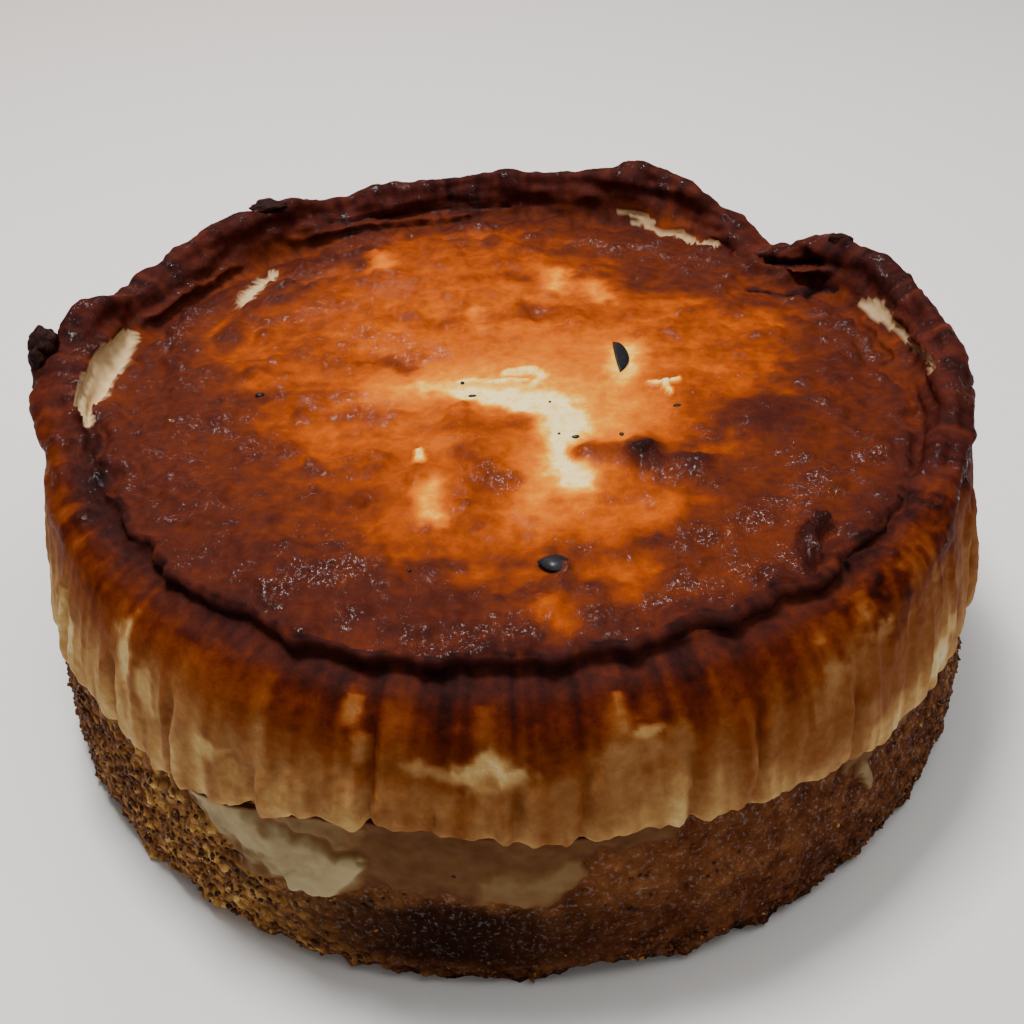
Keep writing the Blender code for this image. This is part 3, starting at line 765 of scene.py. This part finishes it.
def shape_base():
    """Points, faces and marks of the crumb base."""
    ring_angle = -180 + 360 * np.arange(BASE_STEPS) / BASE_STEPS
    share, angle = np.meshgrid(np.linspace(1, 0, BASE_ROWS + 1), ring_angle, indexing="ij")
    share, angle = share.ravel(), angle.ravel()
    radius, height = base_surface(angle, share)
    side = polar(radius, angle, height)
    step = polar(SEAM_STEP_RADIUS, ring_angle, SEAM_HEIGHT - SEAM_GAP)
    points = np.vstack([step, side, [[0, 0, SEAM_HEIGHT - SEAM_GAP], [0, 0, 0]]])
    rings = np.arange(BASE_STEPS * (BASE_ROWS + 2)).reshape(-1, BASE_STEPS)
    faces = ring_faces(rings) + fan(rings[0], len(points) - 2) + fan(rings[-1][::-1], len(points) - 1)

    near, second = cells(side, 2.8, 1)
    small, _ = cells(side, 1.4, 2)
    broad, middling, fine = lumps(side, 12, 21), lumps(side, 4.5, 22), lumps(side, 1.4, 23)
    moist = sector(angle, -97, 17) * soft(height, 2, 8)
    calm = sector(angle, -74, 36, 4) * soft(height + 3 * middling, 3, 9)
    smooth = smear_cover(angle, height, 0.6)
    rough = (1 - 0.5 * moist) * (1 - 0.5 * calm) * (1 - 0.9 * soft(smooth, 0.15, 0.5))
    rough *= soft(1.02 - share, 0, 0.1)
    crumbly = 1 - 0.75 * calm
    bump = crumbly * (1.1 * (0.5 - near) + 0.7 * (0.45 - small))
    bump += 0.6 * middling + 0.3 * fine + 0.3 * broad
    ragged = soft(0.12 - share, 0, 0.1) * (0.9 * middling - soft(broad, 0.1, 0.5))
    chip = 2.4 * sector(angle, -82, 3.4) * (1 - soft(height, 1, 5))
    points[BASE_STEPS : BASE_STEPS + len(side)] += polar(rough * bump + ragged - chip, angle, 0)

    moist *= 1 - soft(height + 2 * middling, 17, 25)
    moist = np.clip(moist + 0.5 * (1 - soft(height, 1, 6)) * (angle > -105), 0, 1)
    golden = 0.30 + 0.14 * middling + 0.08 * fine + 0.06 * broad - 0.2 * crumbly * (near - 0.5)
    # At the left the crumb is lighter and yellower: buttery crumb with painted glints of warm reflected
    # light
    golden += 0.28 * sector(angle, -132, 20) + 0.14 * sector(angle, 80, 80)
    golden += 0.2 * sector(angle, -117, 10) + 0.1 * calm * soft(height, 10, 20)
    golden -= 0.12 * sector(angle, -58, 24)
    loose = (1 - moist) * (1 - 0.8 * calm) * (1 - smooth)
    marks = {
        "golden": np.clip(golden, 0, 1),
        "moist": moist,
        # Dark in the crevices between crumb lumps: painted shade
        "crevice_shade": 0.7 * crumbly * soft(0.2 - (second - near), 0, 0.2) * (1 - smooth),
        "calm": np.maximum(calm, moist),
        "loose": loose * soft(0.9 - share, 0, 0.3) * soft(height, 1.2, 3),
    }
    return points, faces, {mark: np.pad(values, (BASE_STEPS, 2)) for mark, values in marks.items()}


def buttery_crumb():
    """Pressed biscuit crumb bound with butter: brown, coarse, and oily in glints on its bumps."""
    material, tree, shader, place = new_material(
        "pressed buttery biscuit crumb", Roughness=0.75, Specular_IOR_Level=0.03, Coat_Roughness=0.08,
    )
    golden, moist, crevice_shade, calm = (
        add(tree, "ShaderNodeAttribute", attribute_name=name).outputs["Fac"]
        for name in ("golden", "moist", "crevice_shade", "calm")
    )
    # Crumb is ground down to dust, and its patterns keep to the sizes that show
    grain, wet = (
        add(tree, "ShaderNodeTexNoise", {
            "Vector": place, "Scale": per_mm(size), "Detail": detail, "Roughness": roughness,
        })
        for size, detail, roughness in ((0.9, 4, 0.65), (0.8, 2, 0.7))
    )
    crumbs = add(tree, "ShaderNodeTexVoronoi", {"Vector": place, "Scale": per_mm(1.5)})
    own_tone = add(tree, "ShaderNodeSeparateColor", {"Color": crumbs.outputs["Color"]})
    even, tone, blotch, oil = (
        add(tree, "ShaderNodeMapRange", {
            "Value": value, "From Min": start, "From Max": end, "To Min": low, "To Max": high,
        })
        for value, start, end, low, high in (
            (calm, 0, 1, 1, 0.2), (own_tone, 0, 1, -0.16, 0.2), (grain, 0.3, 0.7, -0.14, 0.14),
            (wet, 0.55, 0.68, 0, 0.7),
        )
    )
    varied = add(tree, "ShaderNodeMath", {0: tone, 1: blotch}, operation="ADD")
    # The golden mark carries the crumb's own tone and, at the left, painted glints of reflected light
    level = add(tree, "ShaderNodeMath", {0: varied, 1: even, 2: golden}, operation="MULTIPLY_ADD")
    dry = add(tree, "ShaderNodeValToRGB", {"Fac": level}, stops=(
        (0.0, "#2f1106"), (0.2, "#51260f"), (0.4, "#724121"),
        (0.6, "#915d31"), (0.8, "#b5823f"), (1.0, "#e2b86a"),
    ))
    damp = add(tree, "ShaderNodeMix", {0: moist, 6: dry, 7: colour("#210a02")}, data_type="RGBA")
    # Painted shade darkens the crevices between crumb lumps
    with_crevice_shade = add(tree, "ShaderNodeMix", {0: crevice_shade, 6: damp, 7: colour("#1c0902")}, data_type="RGBA")
    deep = {"Strength": even, "Distance": 0.5 * MM, "Height": crumbs}
    bump = add(tree, "ShaderNodeBump", {
        "Strength": 0.8, "Distance": 0.3 * MM, "Height": grain,
        "Normal": add(tree, "ShaderNodeBump", deep, invert=True),
    })
    wire(tree, shader, {"Base Color": with_crevice_shade, "Coat Weight": oil, "Normal": bump, "Coat Normal": bump})
    return material


def smear_cover(angle, height, edge):
    """How thick the run custard lies, 0 to 1."""
    across = np.radians(turned_from(angle, -90)) * BASE_RADIUS
    cover = np.zeros(len(angle))
    for _, path, thick in RUN_STROKES:
        cover = np.maximum(cover, thick * soft(stroke(across, height, path), 0, edge))
    return cover


def run_custard_mesh():
    """A thin closed shell of custard that clings to the base below the seam."""
    turns, rows = np.linspace(RUN_START, RUN_END, RUN_STEPS), np.linspace(1, RUN_FOOT, RUN_ROWS)
    angle, share = (part.ravel() for part in np.meshgrid(turns, rows, indexing="ij"))
    radius, height = base_surface(angle, share)
    skin = polar(radius, angle, height)
    ripple, small = lumps(skin, 5, 31), lumps(skin, 2.2, 32)
    cover = smear_cover(angle + 0.9 * ripple + 0.5 * small, height + 1.4 * ripple + 0.9 * small, 0.75)
    out = (1.2 + 1.7 * cover + 0.35 * ripple + 0.2 * small) * soft(cover, 0.0, 0.3) - RUN_SUNK
    points = np.vstack([polar(radius + out, angle, height), polar(radius - RUN_BACK, angle, height)])
    number, behind = np.arange(len(angle)).reshape(RUN_STEPS, RUN_ROWS), len(angle)
    grid, loop = grid_faces(number), border(number)
    following = np.roll(loop, -1)
    rim = np.stack([loop, following, following + behind, loop + behind], -1)
    faces = np.vstack([grid[:, [0, 3, 2, 1]], grid[:, [1, 2, 3, 0]] + behind, rim]).tolist()
    cover *= soft(1 - share, 0.0, 0.02) * soft(share, RUN_FOOT, RUN_FOOT + 0.05)
    return points, faces, {"thick": np.pad(cover, (0, behind))}


def run_custard():
    """Custard that ran down over the crumb and set: pale where thick, crumb-brown where thin."""
    material, tree, shader, place = new_material(
        "set custard, run over crumb", Roughness=0.55, Specular_IOR_Level=0.03, Coat_Weight=0.05,
        Coat_Roughness=0.12,
    )
    thick = add(tree, "ShaderNodeAttribute", attribute_name="thick").outputs["Fac"]
    cloud = add(tree, "ShaderNodeTexNoise", {"Vector": place, "Scale": per_mm(3.5), "Detail": 4.0})
    shift = add(tree, "ShaderNodeMapRange", {"Value": cloud, "To Min": -0.2, "To Max": 0.2})
    level = add(tree, "ShaderNodeMath", {0: thick, 1: shift}, operation="ADD")
    shade = add(tree, "ShaderNodeValToRGB", {"Fac": level}, stops=(
        (0.0, "#45200d"), (0.3, "#583015"), (0.6, "#76512c"), (0.8, "#88704b"), (1.0, "#ae9a72"),
    ))
    bump = add(tree, "ShaderNodeBump", {"Strength": 0.5, "Distance": 0.4 * MM, "Height": cloud})
    wire(tree, shader, {"Base Color": shade, "Normal": bump, "Coat Normal": bump})
    return material


def crumb_tree(material):
    """Scatters crumbs over a mesh, thickest where its loose mark is high."""
    tree = bpy.data.node_groups.new("scattered crumbs", "GeometryNodeTree")
    for name, kind in (
        ("Geometry", "Geometry"), ("Crumbs per square metre", "Float"), ("Crumb radius", "Float"),
        ("Smallest share", "Float"), ("Seed", "Int"),
    ):
        tree.interface.new_socket(name, in_out="INPUT", socket_type="NodeSocket" + kind)
    tree.interface.new_socket("Geometry", in_out="OUTPUT", socket_type="NodeSocketGeometry")
    given = add(tree, "NodeGroupInput").outputs
    loose = add(tree, "GeometryNodeInputNamedAttribute", {"Name": "loose"}, data_type="FLOAT")
    most = given["Crumbs per square metre"]
    density = add(tree, "ShaderNodeMath", {0: loose, 1: most}, operation="MULTIPLY")
    spread = add(tree, "GeometryNodeDistributePointsOnFaces", {
        "Mesh": given["Geometry"], "Density": density, "Seed": given["Seed"],
    })
    ball = add(tree, "GeometryNodeMeshIcoSphere", {"Radius": given["Crumb radius"], "Subdivisions": 1})
    dents = add(tree, "ShaderNodeTexNoise", {"Scale": per_mm(1.0), "Detail": 1.0}).outputs["Color"]
    centred = add(tree, "ShaderNodeVectorMath", {0: dents, 1: (0.5, 0.5, 0.5)}, operation="SUBTRACT")
    pushed = add(tree, "ShaderNodeVectorMath", {0: centred, "Scale": 1.1 * MM}, operation="SCALE")
    crumb = add(tree, "GeometryNodeSetPosition", {"Geometry": ball, "Offset": pushed})
    spin = add(tree, "FunctionNodeRandomValue", {
        1: (math.tau, math.tau, math.tau), "Seed": given["Seed"],
    }, data_type="FLOAT_VECTOR")
    size = add(tree, "FunctionNodeRandomValue", {
        2: given["Smallest share"], 3: 1.0, "Seed": given["Seed"],
    }, data_type="FLOAT")
    placed = add(tree, "GeometryNodeInstanceOnPoints", {
        "Points": spread, "Instance": crumb, "Rotation": spin, "Scale": size,
    })
    real = add(tree, "GeometryNodeRealizeInstances", {"Geometry": placed})
    made = add(tree, "GeometryNodeSetMaterial", {"Geometry": real, "Material": material})
    add(tree, "NodeGroupOutput", {"Geometry": made})
    return tree


def scattered_crumbs(name, carrier, material, per_square_metre, radius, smallest, seed):
    """Crumbs scattered on the carrier, as one plain mesh piece."""
    holder = bpy.data.objects.new(name, carrier.data.copy())
    bpy.context.scene.collection.objects.link(holder)
    tree = crumb_tree(material)
    modifier = holder.modifiers.new("crumbs", "NODES")
    modifier.node_group = tree
    wanted = {
        "Crumbs per square metre": per_square_metre, "Crumb radius": radius * MM,
        "Smallest share": smallest, "Seed": seed,
    }
    for socket in tree.interface.items_tree:
        if socket.name in wanted:
            modifier[socket.identifier] = wanted[socket.name]
    evaluated = holder.evaluated_get(bpy.context.evaluated_depsgraph_get())
    shape = bpy.data.meshes.new_from_object(evaluated)
    holder.modifiers.clear()
    holder.data = shape
    shape.shade_smooth()
    return holder


def loose_crumb(name, stops):
    """Single biscuit crumbs with a little butter on them."""
    material, tree, shader, place = new_material(
        name, Specular_IOR_Level=0.05, Coat_Weight=0.2, Coat_Roughness=0.15,
    )
    grain = add(tree, "ShaderNodeTexNoise", {
        "Vector": place, "Scale": per_mm(3.0), "Detail": 3.0, "Roughness": 0.7,
    })
    fine = add(tree, "ShaderNodeTexNoise", {"Vector": place, "Scale": per_mm(0.5), "Detail": 2.0})
    gloss = add(tree, "ShaderNodeMapRange", {"Value": fine, "To Min": 0.3, "To Max": 0.75})
    bump = add(tree, "ShaderNodeBump", {"Strength": 0.7, "Distance": 0.2 * MM, "Height": fine})
    shade = add(tree, "ShaderNodeValToRGB", {"Fac": grain}, stops)
    wire(tree, shader, {"Base Color": shade, "Roughness": gloss, "Normal": bump})
    return material


def joined(parts):
    """Joins (points, faces) parts into one list of points and one of faces."""
    points, faces, start = [], [], 0
    for part_points, part_faces in parts:
        points.append(part_points)
        faces += [tuple(start + corner for corner in face) for face in part_faces]
        start += len(part_points)
    return np.vstack(points), faces


def lump_ball(centre, size, dents, seed, fineness=4):
    """A dented closed ball, its size given along X, Y and Z."""
    ball = bmesh.new()
    bmesh.ops.create_icosphere(ball, subdivisions=fineness, radius=1.0)
    points = np.array([vertex.co[:] for vertex in ball.verts])
    faces = [tuple(vertex.index for vertex in face.verts) for face in ball.faces]
    ball.free()
    points *= (1 + dents * lumps(points, 0.8, seed, 3))[:, None]
    return points * size + centre, faces


def burnt_skin(name, size, detail, roughness, stops, strength, deep, **values):
    """Burnt skin of custard, with a pattern size mm across in its colour and in bumps deep mm high."""
    material, tree, shader, place = new_material(name, **values)
    flakes = add(tree, "ShaderNodeTexNoise", {
        "Vector": place, "Scale": per_mm(size), "Detail": detail, "Roughness": roughness,
    })
    bump = add(tree, "ShaderNodeBump", {"Strength": strength, "Distance": deep * MM, "Height": flakes})
    shade = add(tree, "ShaderNodeValToRGB", {"Fac": flakes}, stops)
    wire(tree, shader, {"Base Color": shade, "Normal": bump})
    return material


def flake(outline, place, turn, thick, dome):
    """A thin domed flake: its outline in mm, its place on the top and its turn in degrees."""
    cosine, sine = math.cos(math.radians(turn)), math.sin(math.radians(turn))
    outline = np.array(outline, float) @ np.array([[cosine, sine], [-sine, cosine]])
    rings = [
        np.column_stack([outline * scale, np.full(len(outline), level)])
        for scale, level in (
            (1, 0), (1.04, thick * 0.5), (0.95, thick), (0.6, thick + dome * 0.7), (0.25, thick + dome),
        )
    ]
    points = np.vstack([*rings, [[0, 0, thick + dome], [0, 0, 0]]]) + place
    number = np.arange(len(points) - 2).reshape(len(rings), -1)
    faces = [face[::-1] for face in ring_faces(number)]
    faces += fan(number[-1], len(points) - 2) + fan(number[0][::-1], len(points) - 1)
    return points, faces


def blade_outline(length, width, bulge, far_end, steps=28):
    """An outline pointed at its near end, bulge of its width on the right; a low far_end is blunt."""
    share = np.linspace(0, 1, steps)
    bow = np.sin(math.pi * share) ** np.where(share > 0.5, far_end, 0.8)
    right = np.column_stack([width * bulge * bow, length * (share - 0.5)])
    share = share[::-1]
    bow = np.sin(math.pi * share) ** 0.8
    left = np.column_stack([-width * (1 - bulge) * bow, length * (share - 0.5)])
    return np.vstack([right[:-1], left[:-1]])


def studio():
    """A pale floor, soft light from above and around, and the camera."""
    bpy.ops.mesh.primitive_plane_add(size=6.0)
    floor = bpy.context.object
    floor.name = "floor"
    material, *_ = new_material("matt pale floor", Base_Color=colour("#e9e7e4"), Roughness=0.9)
    floor.data.materials.append(material)
    scene = bpy.context.scene
    scene.world = bpy.data.worlds.new("soft room")
    scene.world.use_nodes = True
    room = scene.world.node_tree
    wire(room, room.nodes["Background"], {"Color": colour("#f4f3f1"), "Strength": 0.2})
    for name, power, size, place, shade in LAMPS:
        light = bpy.data.lights.new(name, "AREA")
        light.energy, light.size, light.color = power, size, colour(shade)[:3]
        lamp = bpy.data.objects.new(name, light)
        lamp.location = place
        aim = Vector((0, 0, 0.04)) - lamp.location
        lamp.rotation_euler = aim.to_track_quat("-Z", "Y").to_euler()
        scene.collection.objects.link(lamp)
    camera = bpy.data.objects.new("camera", bpy.data.cameras.new("camera"))
    camera.data.lens, camera.data.sensor_width = LENS, SENSOR
    turn = Matrix.Rotation(-math.radians(CAMERA_TURN), 4, "Z")
    tip = Matrix.Rotation(math.radians(90 - CAMERA_DOWN), 4, "X")
    roll = Matrix.Rotation(math.radians(CAMERA_ROLL), 4, "Z")
    camera.matrix_world = Matrix.Translation(CAMERA_PLACE * MM) @ turn @ tip @ roll
    scene.collection.objects.link(camera)
    scene.camera = camera


def own(piece, slot, *nodes):
    """Attaches the piece to the root body and hides the CAD nodes it stands for; its slot is not used."""
    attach(piece, "root")
    if nodes:
        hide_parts(*nodes)


def main():
    custard_shape = shape_custard()
    custard = new_piece("baked_custard", browned_custard(), *custard_shape)
    top = custard_shape[0][: (TOP_CELLS + 1) ** 2]

    def top_height(x, y):
        return float(top[np.argmin((top[:, 0] - x) ** 2 + (top[:, 1] - y) ** 2), 2])

    base = new_piece("pressed_crumb", buttery_crumb(), *shape_base())
    run = new_piece("custard_run", run_custard(), *run_custard_mesh())
    dark = loose_crumb("dark biscuit crumb", ((0.35, "#33170a"), (0.5, "#542c13"), (0.65, "#74451f")))
    pale = loose_crumb("buttery biscuit crumb", ((0.35, "#6e4119"), (0.5, "#93602a"), (0.65, "#c99b4c")))
    dark_crumbs = scattered_crumbs(
        "dark_crumbs", base, dark, per_square_metre=330000, radius=0.62, smallest=0.4, seed=3,
    )
    pale_crumbs = scattered_crumbs(
        "pale_crumbs", base, pale, per_square_metre=60000, radius=0.5, smallest=0.3, seed=8,
    )

    # Skin burnt to charcoal is black, brittle and dull, with a few brighter edges
    charred = burnt_skin(
        "charred skin", 0.8, 4.0, 0.7, ((0.3, "#120403"), (0.55, "#260c08"), (0.75, "#43170e")),
        strength=0.9, deep=0.4, Roughness=0.6, Specular_IOR_Level=0.1,
    )
    burnt = [
        lump_ball(polar(radius, angle, height), sizes, 0.32, 40 + number)
        for number, (angle, radius, height, sizes) in enumerate(BURNT_LUMPS)
    ]
    burnt_lumps = new_piece("charred_lumps", charred, *joined(burnt))

    # A thin flake of burnt skin is blue-black and shines softly
    shining = burnt_skin(
        "burnt skin flake", 0.7, 3.0, 0.5, ((0.35, "#0a0a0e"), (0.6, "#15151c"), (0.8, "#2c2e3a")),
        strength=0.7, deep=0.2, Roughness=0.5, Specular_IOR_Level=0.15, Coat_Weight=0.15,
        Coat_Roughness=0.2,
    )
    half_moon = blade_outline(length=11.5, width=2.7, bulge=0.92, far_end=0.35)
    at = (23.4, 5.6, top_height(24.2, 5.6) - FLAKE_SUNK)
    blade = flake(half_moon, at, turn=2, thick=0.35, dome=0.25)
    rounded = blade_outline(length=5.6, width=4.2, bulge=0.5, far_end=0.8)
    at = (7.7, -58, top_height(7.7, -58) - FLAKE_SUNK)
    almond = flake(rounded, at, turn=80, thick=0.35, dome=0.6)
    specks = [
        lump_ball((x, y, top_height(x, y)), (long / 2, wide / 2, 0.3), 0.3, 60 + number, fineness=2)
        for number, (x, y, long, wide) in enumerate(TOP_SPECKS)
    ]
    flakes = new_piece("dark_flakes", shining, *joined([blade, almond, *specks]))

    own(custard, "baked_custard", "custard_filling")
    own(base, "biscuit_crumb", "crumb_base")
    own(run, "baked_custard")
    own(dark_crumbs, "biscuit_crumb")
    own(pale_crumbs, "biscuit_crumb")
    own(burnt_lumps, "baked_custard")
    own(flakes, "baked_custard")
    studio()


main()
